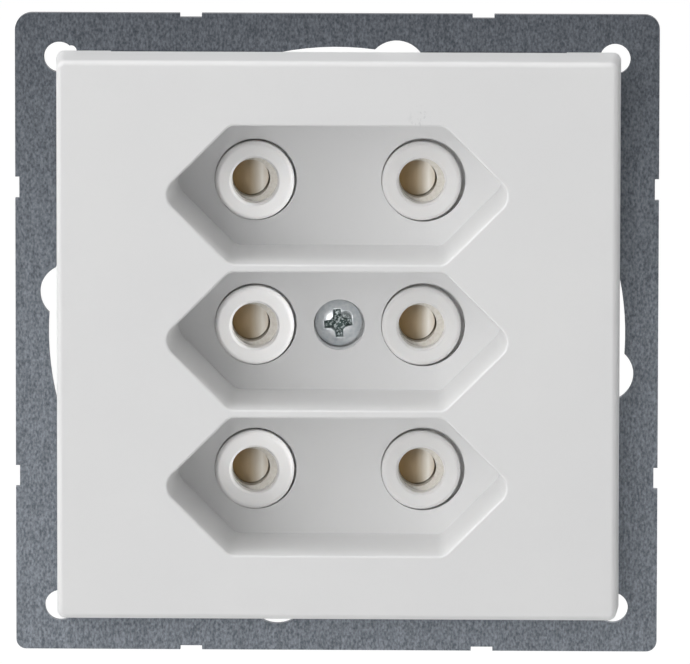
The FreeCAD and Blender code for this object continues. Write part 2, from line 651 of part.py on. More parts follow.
def make_front_housing():
    body = new_body("front_housing")
    pad(body, "block", SEAT, SPLIT, octagon("0"))
    pocket(body, "inside", WALL_BACK, SPLIT, octagon("skin"))
    pad(body, "collars", COLLAR_FACE, SEAT, *six("collar_radius"))
    rounded(body, "collar_edges", "Fillet", "collar_round",
            lambda edge: ring(edge, COLLAR_FACE, "collar_radius"))
    bosses = four("boss_radius", BOSS_ACROSS, BOSS_UP)
    pad(body, "screw_bosses", f"{WALL_BACK} - housing_wall / 2", SPLIT, *bosses)
    pad(body, "bush_post", f"{WALL_BACK} - housing_wall / 2", f"{WALL_BACK} + post_length",
        circle("post_radius"))
    land = pad(body, "ear", "0", "ear_thick", ear(OPENING_ACROSS, EAR_RADIUS, "ear_half"))
    mirrored(body, "ears", land, 1)
    web = pad(body, "web", "ear_thick / 2", f"{SEAT} + housing_wall / 2", rectangle(
        OPENING_ACROSS, f"{OPENING_ACROSS} + ear_web", f"-{WEB_HALF}", WEB_HALF))
    mirrored(body, "webs", web, 1)
    pocket(body, "pin_bores", COLLAR_FACE, SEAT, *six("pin_bore_radius"))
    rounded(body, "pin_bore_edges", "Chamfer", "pin_bore_edge",
            lambda edge: ring(edge, COLLAR_FACE, "pin_bore_radius"))
    pocket(body, "nose_bores", SEAT, WALL_BACK, *six("nose_radius + nose_gap"))
    pocket(body, "post_bore", SEAT, f"{SCREW_SEAT} + screw_seat_wall + fit_gap",
           circle("screw_post_radius + post_clear"))
    pocket(body, "screw_way", WALL_BACK, f"{WALL_BACK} + post_length", circle("screw_radius + screw_way_gap"))
    pocket(body, "bush_hole", f"{WALL_BACK} + post_length - bush_length", f"{WALL_BACK} + post_length",
           circle("bush_radius + fit_gap"))
    pocket(body, "pilot_holes", f"{SPLIT} - pilot_depth", SPLIT,
           *four("housing_screw_radius + fit_gap", BOSS_ACROSS, BOSS_UP))
    pocket(body, "rivet_holes", "0", "ear_thick", *four("rivet_radius + fit_gap", RIVET_ACROSS, "rivet_up"))
    for side, sign in SIDES.items():
        side_pocket(body, f"{side}_window", f"{sign} * ({BODY_HALF} - skin / 2)", "skin * 2",
                    circle("terminal_head_radius + window_gap", TERMINAL))
    return body


# Contact carrier, a loose inner block that holds the sleeves

def make_contact_carrier():
    body = new_body("contact_carrier")
    pad(body, "block", WALL_BACK, CARRIER_BACK, oblong(CARRIER_HALF, CARRIER_TALL))
    rounded(body, "block_corners", "Fillet", "carrier_corner", along_depth)
    pad(body, "noses", SEAT, WALL_BACK, *six("nose_radius"))
    pocket(body, "post_room", WALL_BACK, CARRIER_BACK, circle("post_radius + post_gap + carrier_play"))
    inner = "(pin_pitch / 2 - rail_half - chamber_gap)"
    for row, low, high in (("top", "row_pitch - rail_end", f"{CARRIER_TALL} + rail_end"),
                           ("bottom", f"-{CARRIER_TALL} - rail_end", "-row_pitch + rail_end")):
        pocket(body, f"{row}_gap", WALL_BACK, CARRIER_BACK, rectangle(f"-{inner}", inner, low, high))
    pocket(body, "pin_holes", SEAT, PIN_HOLE_END, *six("pin_hole_radius"))
    pocket(body, "chambers", PIN_HOLE_END, CARRIER_BACK, *six(f"{SLEEVE_OUTSIDE} + chamber_gap"))
    moved(body, "-carrier_play")
    return body


# Contact rails, one for each pole, with the terminal tab bent forward

def make_contact_rail(side):
    sign = SIDES[side]
    body = new_body(f"contact_rail_{side}")
    middle = f"{sign} * pin_pitch / 2"
    end = "(row_pitch + rail_end)"
    inner, outer = f"{middle} - {sign} * rail_half", f"{middle} + {sign} * rail_half"
    tab_inner, tab_outer = f"{sign} * {TAB_ACROSS}", f"{sign} * {TAB_OUTER}"
    pad(body, "strip", CARRIER_BACK, SPLIT, polygon(
        (inner, f"-{end}"), (outer, f"-{end}"), (outer, "-tab_half"), (tab_outer, "-tab_half"),
        (tab_outer, "tab_half"), (outer, "tab_half"), (outer, end), (inner, end)))
    limit = value("row_pitch")
    rounded(body, "strip_corners", "Fillet", "rail_corner",
            lambda edge: along_depth(edge) and abs(edge.CenterOfMass.z) > limit)
    pad(body, "tab", f"{WALL_BACK} + tab_foot_gap", f"{SPLIT} - rail_thick / 2",
        rectangle(tab_inner, tab_outer, "-tab_half", "tab_half"))
    bend = value(tab_outer)
    rounded(body, "bend", "Fillet", "rail_bend",
            lambda edge: at_depth(edge, SPLIT) and near(edge.CenterOfMass.x, bend))
    holes = [circle(f"{NECK_OUTSIDE} + fit_gap", middle, f"{row} * row_pitch") for row in ROWS.values()]
    pocket(body, "sleeve_holes", CARRIER_BACK, SPLIT, *holes)
    side_pocket(body, "screw_hole", f"{sign} * ({TAB_ACROSS} + rail_thick / 2)", "rail_thick * 2",
                circle("terminal_screw_radius + thread_gap", TERMINAL))
    moved(body, "-carrier_play")
    return body


# Contact sleeves, slit tubes riveted to the rails by their necks

def make_contact_sleeve(place_name, across, up):
    body = new_body(f"contact_sleeve_{place_name}")
    length = f"({CARRIER_BACK} - {PIN_HOLE_END} - sleeve_set)"
    turned(body, "tube",
           ("sleeve_inside + sleeve_mouth", "0"), (SLEEVE_OUTSIDE, "0"), (SLEEVE_OUTSIDE, length),
           (NECK_OUTSIDE, length), (NECK_OUTSIDE, f"{length} + rail_thick"),
           ("sleeve_inside", f"{length} + rail_thick"), ("sleeve_inside", "sleeve_flare"))
    slit = pocket(body, "slit", "0", f"{length} - sleeve_root", rectangle(
        "0", f"{SLEEVE_OUTSIDE} * 2", "-sleeve_slit / 2", "sleeve_slit / 2"))
    around(body, "slits", slit, 2)
    pad(body, "tongue", "0", "tongue_thick", circle("tongue_radius", "-tongue_shift"))
    pad(body, "tongue_root", "0", "tongue_thick",
        rectangle("-tongue_reach", "-tongue_shift", "-tongue_root", "tongue_root"))
    moved(body, f"{across} - carrier_play", f"{PIN_HOLE_END} + sleeve_set", up)
    return body


# Screws: a turned blank with a drive cut in its head

def make_screw(label, radius, length, head_radius, head_height, crown, crown_size, slot=True):
    """A pan head screw on the depth axis, its head's seat at the origin and its tip at depth."""
    body = new_body(label)
    turned(body, "blank", ("0", f"-{head_height}"), (head_radius, f"-{head_height}"), (head_radius, "0"),
           (radius, "0"), (radius, f"{length} - {radius} / 2"), (f"{radius} / 2", length), ("0", length))
    rounded(body, "crown", crown, crown_size, lambda edge: ring(edge, f"-{head_height}", head_radius))
    top = f"-{head_height}"
    half = "drive_width / 2"
    pocket(body, "cross", top, f"{top} + drive_depth",
           rectangle("-drive_reach", "drive_reach", f"-{half}", half))
    pocket(body, "cross_upright", top, f"{top} + drive_depth",
           rectangle(f"-{half}", half, "-drive_reach", "drive_reach"))
    if slot:
        pocket(body, "slot", top, f"{top} + drive_depth / 2",
               rectangle(f"-{head_radius}", head_radius, f"-{half}", half))
    return body


def make_cover_screw():
    body = make_screw("cover_screw", "screw_radius", "screw_length", "head_radius", "head_height",
                      "Fillet", "head_round", slot=False)
    moved(body, "0", SCREW_SEAT, "0", Rotation(Vector(0, 1, 0), -value("drive_turn")))
    return body


def make_threaded_bush():
    body = new_body("threaded_bush")
    turned(body, "bush", ("screw_radius + thread_gap", "0"), ("bush_radius", "0"),
           ("bush_radius", "bush_length"), ("screw_radius + thread_gap", "bush_length"))
    moved(body, "0", f"{WALL_BACK} + post_length - bush_length")
    return body


def make_terminal(side):
    """The saddle plate and the screw that press the wires against a rail's tab."""
    sign = SIDES[side]
    plate = new_body(f"clamp_plate_{side}")
    depth = TERMINAL
    inner, outer = f"{sign} * {CLAMP_INNER}", f"{sign} * {CLAMP_OUTER}"
    pad(plate, "plate", f"{depth} - clamp_depth / 2", f"{depth} + clamp_depth / 2", polygon(
        (inner, "-clamp_half"), (outer, "-clamp_half"), (outer, "clamp_half"), (inner, "clamp_half")))
    side_pocket(plate, "screw_hole", f"{sign} * ({CLAMP_INNER} + clamp_thick / 2)", "clamp_thick * 2",
                circle("terminal_screw_radius + thread_gap", depth))
    moved(plate, "-carrier_play")
    length = f"({CLAMP_OUTER} - {TAB_ACROSS} + terminal_screw_tip)"
    screw = make_screw(f"terminal_screw_{side}", "terminal_screw_radius", length, "terminal_head_radius",
                       "terminal_head_height", "Chamfer", "terminal_head_edge")
    moved(screw, f"{sign} * {CLAMP_OUTER} - carrier_play", depth, "0",
          Rotation(Vector(0, 0, 1), 90 * sign))
    return plate, screw


# Rear housing, which closes the front housing and traps the rails

def make_rear_housing():
    body = new_body("rear_housing")
    pad(body, "plate", SPLIT, REAR, octagon("0"))
    rounded(body, "back_edge", "Chamfer", "rear_edge", lambda edge: at_depth(edge, REAR))
    lip = "(skin + lip_gap)"
    pad(body, "lip", f"{SPLIT} - lip_depth", f"{SPLIT} + skin", octagon(lip))
    pocket(body, "lip_inside", f"{SPLIT} - lip_depth", SPLIT, octagon(f"({lip} + lip_wall)"))
    pocket(body, "boss_room", f"{SPLIT} - lip_depth", SPLIT,
           *four("boss_radius + chamber_gap", BOSS_ACROSS, BOSS_UP))
    pocket(body, "pin_pockets", SPLIT, f"{SPLIT} + pin_pocket_depth", *six("pin_pocket_radius"))
    wire = f"({TAB_OUTER} + wire_gap / 2)"
    rooms = [
        rectangle(f"{sign}*{wire} - wire_room_half", f"{sign}*{wire} + wire_room_half",
                  "-wire_room_tall", "wire_room_tall")
        for sign in SIDES.values()
    ]
    pocket(body, "wire_rooms", SPLIT, f"{SPLIT} + wire_room_depth", *rooms)
    pocket(body, "wire_holes", f"{SPLIT} + wire_room_depth", REAR,
           *four("wire_hole_radius", wire, "wire_hole_up"))
    pocket(body, "screw_ways", SPLIT, REAR,
           *four("housing_screw_radius + housing_screw_gap", BOSS_ACROSS, BOSS_UP))
    pocket(body, "head_rooms", f"{REAR} - housing_head_height - housing_head_gap", REAR,
           *four("housing_head_radius + housing_head_gap", BOSS_ACROSS, BOSS_UP))
    return body


# Fasteners that share one node

def grouped(label, pieces):
    group = doc.addObject("Part::Compound", label)
    group.Label = label
    group.Links = pieces
    return group


def make_frame_rivets():
    pieces = []
    for across, up in ((side, height) for side in ("-", "") for height in ("-", "")):
        rivet = new_body(f"rivet_{len(pieces) + 1}")
        front = f"({FRAME_FRONT} - rivet_crown)"
        turned(rivet, "rivet",
               ("rivet_radius / 2", front), ("rivet_head", front), ("rivet_head", FRAME_FRONT),
               ("rivet_radius", FRAME_FRONT), ("rivet_radius", "ear_thick"), ("rivet_head", "ear_thick"),
               ("rivet_radius", "ear_thick + rivet_crown"), ("rivet_radius / 2", "ear_thick + rivet_crown"))
        moved(rivet, f"{across}{RIVET_ACROSS}", "0", f"{up}rivet_up")
        pieces.append(rivet)
    return grouped("frame_rivets", pieces)


def make_housing_screws():
    pieces = []
    seat = f"({REAR} - housing_head_height - housing_head_gap)"
    length = f"({seat} - {SPLIT} + pilot_depth - housing_head_gap)"
    for across, up in ((side, height) for side in ("-", "") for height in ("-", "")):
        screw = make_screw(f"housing_screw_{len(pieces) + 1}", "housing_screw_radius", length,
                           "housing_head_radius", "housing_head_height", "Chamfer",
                           "housing_head_edge", slot=False)
        moved(screw, f"{across}{BOSS_ACROSS}", seat, f"{up}{BOSS_UP}", Rotation(Vector(0, 0, 1), 180))
        pieces.append(screw)
    return grouped("housing_screws", pieces)


parts = [make_support_frame(), make_cover(), make_front_housing(), make_contact_carrier()]
parts += [make_contact_rail(side) for side in SIDES]
parts += [make_contact_sleeve(*spot) for spot in contact_places("pin_pitch")]
parts += [make_cover_screw(), make_threaded_bush()]
for side in SIDES:
    parts += make_terminal(side)
parts += [make_rear_housing(), make_frame_rivets(), make_housing_screws()]
doc.recompute()

for item in doc.Objects:
    if "Invalid" in item.State or "Error" in item.State:
        raise ValueError(f"{item.Label} failed: {item.State}")
for part in parts:
    if part.Shape.isNull() or not part.Shape.isValid():
        raise ValueError(f"{part.Label} has no valid shape")

os.makedirs("parts", exist_ok=True)
for part in parts:
    part.Shape.exportStep(os.path.join("parts", f"{part.Label}.step"))
    print(part.Label, len(part.Shape.Solids), round(part.Shape.Volume, 1))
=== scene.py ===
import math

import bmesh
import bpy
from mathutils import Matrix, Vector


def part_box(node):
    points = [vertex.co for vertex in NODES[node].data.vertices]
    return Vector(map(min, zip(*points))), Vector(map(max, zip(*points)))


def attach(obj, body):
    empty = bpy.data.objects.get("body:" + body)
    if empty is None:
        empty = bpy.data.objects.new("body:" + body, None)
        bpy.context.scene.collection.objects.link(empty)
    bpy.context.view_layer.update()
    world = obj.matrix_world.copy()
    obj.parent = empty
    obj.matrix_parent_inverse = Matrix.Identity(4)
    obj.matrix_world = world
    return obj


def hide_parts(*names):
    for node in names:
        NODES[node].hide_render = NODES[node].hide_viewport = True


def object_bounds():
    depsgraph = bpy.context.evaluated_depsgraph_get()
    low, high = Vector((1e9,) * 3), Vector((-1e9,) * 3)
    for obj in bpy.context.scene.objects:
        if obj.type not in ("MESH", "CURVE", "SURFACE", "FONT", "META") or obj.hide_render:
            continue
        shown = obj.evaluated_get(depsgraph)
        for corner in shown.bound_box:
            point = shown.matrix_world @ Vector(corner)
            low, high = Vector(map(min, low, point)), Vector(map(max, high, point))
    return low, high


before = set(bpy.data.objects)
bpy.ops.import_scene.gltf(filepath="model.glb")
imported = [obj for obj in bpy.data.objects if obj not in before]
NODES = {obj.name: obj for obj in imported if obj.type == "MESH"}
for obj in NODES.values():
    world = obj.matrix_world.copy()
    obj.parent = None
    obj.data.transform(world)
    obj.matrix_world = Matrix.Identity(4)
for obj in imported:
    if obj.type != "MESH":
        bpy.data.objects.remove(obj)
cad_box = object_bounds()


# Support frame: a 1 mm sheet of zinc-coated steel, punched to its outline and
# screwed over the flush box. The coating is dull, with fine grains and faint
# streaks along the rolling direction, which runs up the frame.

MM = 0.001
FRAME_HALF = 35.5 * MM
ZINC_DARK = (0.120, 0.136, 0.158, 1.0)
ZINC_PALE = (0.315, 0.342, 0.378, 1.0)
ZINC_METAL = 0.9
ZINC_ROUGH = 0.42
ZINC_ROUGH_RANGE = (0.34, 0.54)
ZINC_RELIEF = (0.01 * MM, 0.35)
ZINC_MOTTLE = 0.6
STREAK_SHADE = (0.72, 0.72, 0.72, 1.0)
UNTINTED = (1.0, 1.0, 1.0, 1.0)

# Painted shade: the coating's colour darkens from the frame's lower edge to its upper one.
ZINC_PAINTED_SHADE = ((0.0, UNTINTED),
             (0.5, (0.88, 0.88, 0.88, 1.0)),
             (1.0, (0.48, 0.48, 0.49, 1.0)))

# A pattern is its scale per metre, its detail, and its scale along each axis.
ZINC_GRAIN = (4600.0, 4.0, (1.0, 1.0, 0.6))
ZINC_STREAKS = (2200.0, 3.0, (1.0, 1.0, 0.10))
EVEN = (1.0, 1.0, 1.0)

# The part of a pattern's range over which a colour changes.
BROAD = (0.3, 0.7)

# Where the Mix node holds its colour sockets.
MIX_FIRST = 6
MIX_SECOND = 7
MIX_RESULT = 2


def node(tree, kind, **inputs):
    """A shader node with its inputs set."""
    made = tree.nodes.new(kind)
    for name, setting in inputs.items():
        made.inputs[name.replace("_", " ")].default_value = setting
    return made


def finish(name, colour, rough, metal=0.0):
    """A new material with its main shader, and the coordinates its patterns read."""
    material = bpy.data.materials.new(name)
    material.use_nodes = True
    tree = material.node_tree
    shader = tree.nodes["Principled BSDF"]
    shader.inputs["Base Color"].default_value = colour
    shader.inputs["Roughness"].default_value = rough
    shader.inputs["Metallic"].default_value = metal
    place = tree.nodes.new("ShaderNodeTexCoord").outputs["Object"]
    return material, tree, shader, place


def grain(tree, place, scale, detail, stretch=EVEN):
    """A pattern of noise, drawn out along an axis where asked."""
    mapping = node(tree, "ShaderNodeMapping", Scale=stretch)
    noise = node(tree, "ShaderNodeTexNoise", Scale=scale, Detail=detail)
    tree.links.new(place, mapping.inputs["Vector"])
    tree.links.new(mapping.outputs["Vector"], noise.inputs["Vector"])
    return noise.outputs["Fac"]


def ramp(tree, factor, span, dark, pale):
    """A colour between two, as a factor crosses a span."""
    made = tree.nodes.new("ShaderNodeValToRGB")
    for end, spot, colour in zip(made.color_ramp.elements, span, (dark, pale)):
        end.position = spot
        end.color = colour
    tree.links.new(factor, made.inputs["Fac"])
    return made.outputs["Color"]


def faded(tree, place, axis, low, high, stops):
    """A colour that changes along an axis, between two places on it."""
    split = tree.nodes.new("ShaderNodeSeparateXYZ")
    along = node(tree, "ShaderNodeMapRange", From_Min=low, From_Max=high)
    made = tree.nodes.new("ShaderNodeValToRGB")
    ends = made.color_ramp.elements
    ends[0].color = stops[0][1]
    ends[1].color = stops[-1][1]
    for spot, colour in stops[1:-1]:
        ends.new(spot).color = colour
    tree.links.new(place, split.inputs["Vector"])
    tree.links.new(split.outputs[axis], along.inputs["Value"])
    tree.links.new(along.outputs["Result"], made.inputs["Fac"])
    return made.outputs["Color"]


def blended(tree, kind, factor, first, second):
    """Two colours mixed by a factor, which is a number or a pattern."""
    mix = tree.nodes.new("ShaderNodeMix")
    mix.data_type = "RGBA"
    mix.blend_type = kind
    if isinstance(factor, float):
        mix.inputs["Factor"].default_value = factor
    else:
        tree.links.new(factor, mix.inputs["Factor"])
    tree.links.new(first, mix.inputs[MIX_FIRST])
    tree.links.new(second, mix.inputs[MIX_SECOND])
    return mix.outputs[MIX_RESULT]


def roughened(tree, shader, factor, span):
    """Roughness that goes from one value to another with a pattern."""
    made = node(tree, "ShaderNodeMapRange", To_Min=span[0], To_Max=span[1])
    tree.links.new(factor, made.inputs["Value"])
    tree.links.new(made.outputs["Result"], shader.inputs["Roughness"])


def bumped(tree, shader, height, depth, strength):
    """Relief on the surface, its depth in metres."""
    bump = node(tree, "ShaderNodeBump", Strength=strength, Distance=depth)
    tree.links.new(height, bump.inputs["Height"])
    tree.links.new(bump.outputs["Normal"], shader.inputs["Normal"])


def dress(material, *names):
    """Give CAD nodes a finish."""
    for name in names:
        for slot in NODES[name].material_slots:
            slot.material = material


zinc, tree, shader, place = finish("zinc_sheet", ZINC_PALE, ZINC_ROUGH, ZINC_METAL)
grains = grain(tree, place, *ZINC_GRAIN)
streaks = grain(tree, place, *ZINC_STREAKS)
coating = ramp(tree, grains, BROAD, ZINC_DARK, ZINC_PALE)
streaking = ramp(tree, streaks, BROAD, STREAK_SHADE, UNTINTED)
mottled = blended(tree, "MULTIPLY", ZINC_MOTTLE, coating, streaking)
# Painted shade, darker towards the frame's upper edge, multiplies the coating.
painted_shade = faded(tree, place, "Z", -FRAME_HALF, FRAME_HALF, ZINC_PAINTED_SHADE)
tree.links.new(blended(tree, "MULTIPLY", 1.0, mottled, painted_shade), shader.inputs["Base Color"])
roughened(tree, shader, streaks, ZINC_ROUGH_RANGE)
bumped(tree, shader, grains, *ZINC_RELIEF)
dress(zinc, "support_frame")


# Cover: the square front, moulded in one shot of white plastic with the three
# plug recesses. It has a satin skin with a trace of flow, and a few faint
# scuffs above the right collar of the top row. One screw holds it.

COVER_WHITE = (0.905, 0.905, 0.903, 1.0)
COVER_SHADE = (0.885, 0.885, 0.887, 1.0)
COVER_ROUGH = 0.50
COVER_ROUGH_RANGE = (0.46, 0.55)
COVER_FLOW = (60.0, 2.0)
COVER_SKIN = (1800.0, 2.0)
COVER_RELIEF = (0.004 * MM, 0.25)
SCUFF_AT = (9.3 * MM, -7.8 * MM, 24.9 * MM)
SCUFF_REACH = 1.5 * MM
SCUFF_NICKS = (1900.0, 3.0, (1.0, 1.0, 0.8))
SCUFF_SPAN = (0.55, 0.60)
SCUFF_TONE = (0.890, 0.893, 0.897, 1.0)

white, tree, shader, place = finish("cover_white", COVER_WHITE, COVER_ROUGH)
flow = grain(tree, place, *COVER_FLOW)
skin = grain(tree, place, *COVER_SKIN)
away = tree.nodes.new("ShaderNodeVectorMath")
away.operation = "DISTANCE"
away.inputs[1].default_value = SCUFF_AT
tree.links.new(place, away.inputs[0])
near = node(tree, "ShaderNodeMapRange", From_Min=SCUFF_REACH, From_Max=SCUFF_REACH / 2)
tree.links.new(away.outputs["Value"], near.inputs["Value"])
clean = ramp(tree, flow, BROAD, COVER_SHADE, COVER_WHITE)
nicks = ramp(tree, grain(tree, place, *SCUFF_NICKS), SCUFF_SPAN, UNTINTED, SCUFF_TONE)
scuffed = blended(tree, "MULTIPLY", near.outputs["Result"], clean, nicks)
tree.links.new(scuffed, shader.inputs["Base Color"])
roughened(tree, shader, flow, COVER_ROUGH_RANGE)
bumped(tree, shader, skin, *COVER_RELIEF)
dress(white, "cover")


# Housings: the hidden cup behind the frame, with the six collars that show in
# the recesses, and the block that closes it from behind. Both are moulded in
# a softer, whiter plastic that lets a little light through.

HOUSING_WHITE = (0.960, 0.950, 0.940, 1.0)
HOUSING_ROUGH = 0.45
HOUSING_ROUGH_RANGE = (0.40, 0.50)
HOUSING_SKIN = (1500.0, 2.0)
HOUSING_RELIEF = (0.005 * MM, 0.3)
HOUSING_MILKY = 0.1
HOUSING_SCATTER = (0.8 * MM, 0.7 * MM, 0.6 * MM)

housing, tree, shader, place = finish("housing_white", HOUSING_WHITE, HOUSING_ROUGH)
shader.inputs["Subsurface Weight"].default_value = HOUSING_MILKY
shader.inputs["Subsurface Radius"].default_value = HOUSING_SCATTER
shader.inputs["Subsurface Scale"].default_value = 1.0
skin = grain(tree, place, *HOUSING_SKIN)
roughened(tree, shader, skin, HOUSING_ROUGH_RANGE)
bumped(tree, shader, skin, *HOUSING_RELIEF)
dress(housing, "front_housing", "rear_housing")


# Contact carrier: a loose block of cream thermoset inside the housing. Its
# noses close the backs of the collars, and its holes lead the pins in.

CARRIER_CREAM = (0.630, 0.605, 0.555, 1.0)
CARRIER_SHADE = (0.550, 0.520, 0.465, 1.0)
CARRIER_ROUGH = 0.5
CARRIER_SPECKS = (3000.0, 4.0)
CARRIER_SPAN = (0.35, 0.65)
CARRIER_RELIEF = (0.006 * MM, 0.3)

cream, tree, shader, place = finish("carrier_cream", CARRIER_CREAM, CARRIER_ROUGH)
specks = grain(tree, place, *CARRIER_SPECKS)
speckled = ramp(tree, specks, CARRIER_SPAN, CARRIER_SHADE, CARRIER_CREAM)
tree.links.new(speckled, shader.inputs["Base Color"])
bumped(tree, shader, specks, *CARRIER_RELIEF)
dress(cream, "contact_carrier")


# Contact rails and bush: rails bent from brass strip, and the turned brass
# bush that takes the cover screw. Both are slightly dulled by handling and air.

BRASS = (0.640, 0.500, 0.280, 1.0)
BRASS_DULL = (0.420, 0.310, 0.160, 1.0)
BRASS_ROUGH = 0.35
BRASS_ROUGH_RANGE = (0.25, 0.50)
BRASS_TARNISH = (350.0, 5.0)
BRASS_SPAN = (0.35, 0.70)

brass, tree, shader, place = finish("contact_brass", BRASS, BRASS_ROUGH, 1.0)
tarnish = grain(tree, place, *BRASS_TARNISH)
dulled = ramp(tree, tarnish, BRASS_SPAN, BRASS_DULL, BRASS)
tree.links.new(dulled, shader.inputs["Base Color"])
roughened(tree, shader, tarnish, BRASS_ROUGH_RANGE)
dress(brass, "contact_rail_left", "contact_rail_right", "threaded_bush")


# Contact sleeves: slit tubes riveted to the rails, each with a soft bronze
# tongue across its mouth. The tongue's colour is painted light: painted shade at
# the left, a pale painted lit band to the right, a dark painted shadow at its right edge, and faint
# rubbed marks.

SLEEVE = "contact_sleeve_"
SLEEVES = [name for name in NODES if name.startswith(SLEEVE)]
TONGUE_HALF = 2.1 * MM
# Painted light across the tongue: shade at the left, a lit pale band, then a dark shadow at the right
# edge.
TONGUE_PAINTED_LIGHT = ((0.00, (0.500, 0.325, 0.135, 1.0)),
                (0.45, (0.390, 0.300, 0.190, 1.0)),
                (0.60, (0.500, 0.440, 0.350, 1.0)),
                (0.78, (0.800, 0.775, 0.725, 1.0)),
                (0.92, (0.680, 0.620, 0.540, 1.0)),
                (1.00, (0.360, 0.240, 0.120, 1.0)))
TONGUE_PAINTED_SHADE = TONGUE_PAINTED_LIGHT[0][1]
TONGUE_ROUGH = 0.55
TONGUE_METAL = 0.25
TONGUE_RUB = (900.0, 3.0, (1.0, 1.0, 0.3))
TONGUE_RUBBED = (0.86, 0.84, 0.80, 1.0)

for name in SLEEVES:
    low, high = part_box(name)
    middle = (low[0] + high[0]) / 2
    label = "tongue_" + name.removeprefix(SLEEVE)
    bronze, tree, shader, place = finish(label, TONGUE_PAINTED_SHADE, TONGUE_ROUGH, TONGUE_METAL)
    # The tongue's painted light and shade, laid from its left side to its right one.
    painted_light = faded(tree, place, "X", middle - TONGUE_HALF, middle + TONGUE_HALF, TONGUE_PAINTED_LIGHT)
    rub = ramp(tree, grain(tree, place, *TONGUE_RUB), BROAD, TONGUE_RUBBED, UNTINTED)
    tree.links.new(blended(tree, "MULTIPLY", 1.0, painted_light, rub), shader.inputs["Base Color"])
    dress(bronze, name)


# Rivets, housing screws, terminal screws and clamp plates: small steel parts
# with a bright blue-white zinc coating, which hold the housings, the frame and
# the wires.

SCREW_ZINC = (0.640, 0.680, 0.720, 1.0)
SCREW_DULL = (0.420, 0.460, 0.500, 1.0)
SCREW_ROUGH = 0.22
SCREW_ROUGH_RANGE = (0.16, 0.36)
SCREW_WEAR = (1400.0, 4.0)
SCREW_SPAN = (0.35, 0.60)
SCREW_RELIEF = (0.01 * MM, 0.25)

plated, tree, shader, place = finish("zinc_screw", SCREW_ZINC, SCREW_ROUGH, 1.0)
wear = grain(tree, place, *SCREW_WEAR)
tree.links.new(ramp(tree, wear, SCREW_SPAN, SCREW_DULL, SCREW_ZINC), shader.inputs["Base Color"])
roughened(tree, shader, wear, SCREW_ROUGH_RANGE)
bumped(tree, shader, wear, *SCREW_RELIEF)
dress(plated, "frame_rivets", "housing_screws", "clamp_plate_left",
      "clamp_plate_right", "terminal_screw_left", "terminal_screw_right")


# Cover screw: a pan head with a smooth dome over its seat in the middle recess.
# The cross is pressed, with painted shade at its bottom, and has a scar where a driver
# slipped out of it; its thread runs into the brass bush behind.

DOME_RISE = 1.0 * MM
DOME_RINGS = 52
HEAD_RADIUS = 2.6 * MM
HEAD_TALL = 1.9 * MM
HEAD_EDGE = 0.1 * MM
SHANK_RADIUS = 1.5 * MM
ROOT_RADIUS = 1.27 * MM
THREAD_PITCH = 0.5 * MM
THREAD_START = 2 * THREAD_PITCH
THREAD_POINT = 3 * THREAD_PITCH
CROSS_REACH = 1.6 * MM
CROSS_HALF = 0.58 * MM
CROSS_TAPER = 0.16 * MM
CROSS_MIDDLE = 0.92 * MM
CROSS_DEPTH = 1.1 * MM
CROSS_RISE = 0.3
CROSS_EDGE = 0.16 * MM
CROSS_TURN = math.radians(6.0)
SCAR_RIGHT = 0.80 * MM
SCAR_UP = 0.62 * MM
SCAR_RADIUS = 0.80 * MM
SCAR_DEPTH = 0.45 * MM
SCAR_STEEP = 2.0
SCAR_SHADE_STEEP = 1.6
SCAR_PAINTED_SHADE = 0.85
TURNS = 144
MERGE = 0.001 * MM
DOME_ROUGH = 0.24
DOME_ROUGH_RANGE = (0.26, 0.42)
DOME_WEAR = (1600.0, 4.0)
DOME_SPAN = (0.35, 0.62)
DOME_DULL = (0.780, 0.820, 0.845, 1.0)
DOME_BRIGHT = (0.930, 0.950, 0.960, 1.0)
DOME_RELIEF = (0.01 * MM, 0.2)
# Painted shade in the sunk cross and scar: dark, with pale flecks.
FLECKS = (4200.0, 3.0)
FLECK_SPAN = (0.50, 0.63)
FLECK_DARK = (0.055, 0.075, 0.071, 1.0)
FLECK_PALE = (0.470, 0.520, 0.520, 1.0)

low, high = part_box("cover_screw")
axis_x = (low[0] + high[0]) / 2
axis_z = (low[2] + high[2]) / 2
top = low[1]
seat = top + HEAD_TALL
tip = high[1]
ball = (HEAD_RADIUS ** 2 + DOME_RISE ** 2) / (2 * DOME_RISE)

# The screw's outline, as radius and depth, from the top of the dome to the tip.
outline = []
for ring in range(DOME_RINGS + 1):
    radius = HEAD_RADIUS * ring / DOME_RINGS
    outline.append((radius, top + ball - math.sqrt(ball ** 2 - radius ** 2)))
outline.append((HEAD_RADIUS, seat - HEAD_EDGE))
outline.append((HEAD_RADIUS - HEAD_EDGE, seat))
outline.append((SHANK_RADIUS, seat))
depth = seat + THREAD_START
while depth < tip - THREAD_POINT:
    outline.append((SHANK_RADIUS, depth))
    outline.append((ROOT_RADIUS, depth + THREAD_PITCH / 2))
    depth += THREAD_PITCH
outline.append((SHANK_RADIUS, depth))
outline.append((ROOT_RADIUS / 2, tip))
outline.append((0.0, tip))

grown = bmesh.new()
profile = [grown.verts.new((axis_x + radius, deep, axis_z)) for radius, deep in outline]
edges = [grown.edges.new(pair) for pair in zip(profile, profile[1:])]
bmesh.ops.spin(grown, geom=profile + edges, cent=(axis_x, 0.0, axis_z), axis=(0.0, 1.0, 0.0),
               angle=math.tau, steps=TURNS, use_merge=True)
bmesh.ops.remove_doubles(grown, verts=grown.verts, dist=MERGE)
bmesh.ops.recalc_face_normals(grown, faces=grown.faces)
grown.verts.index_update()


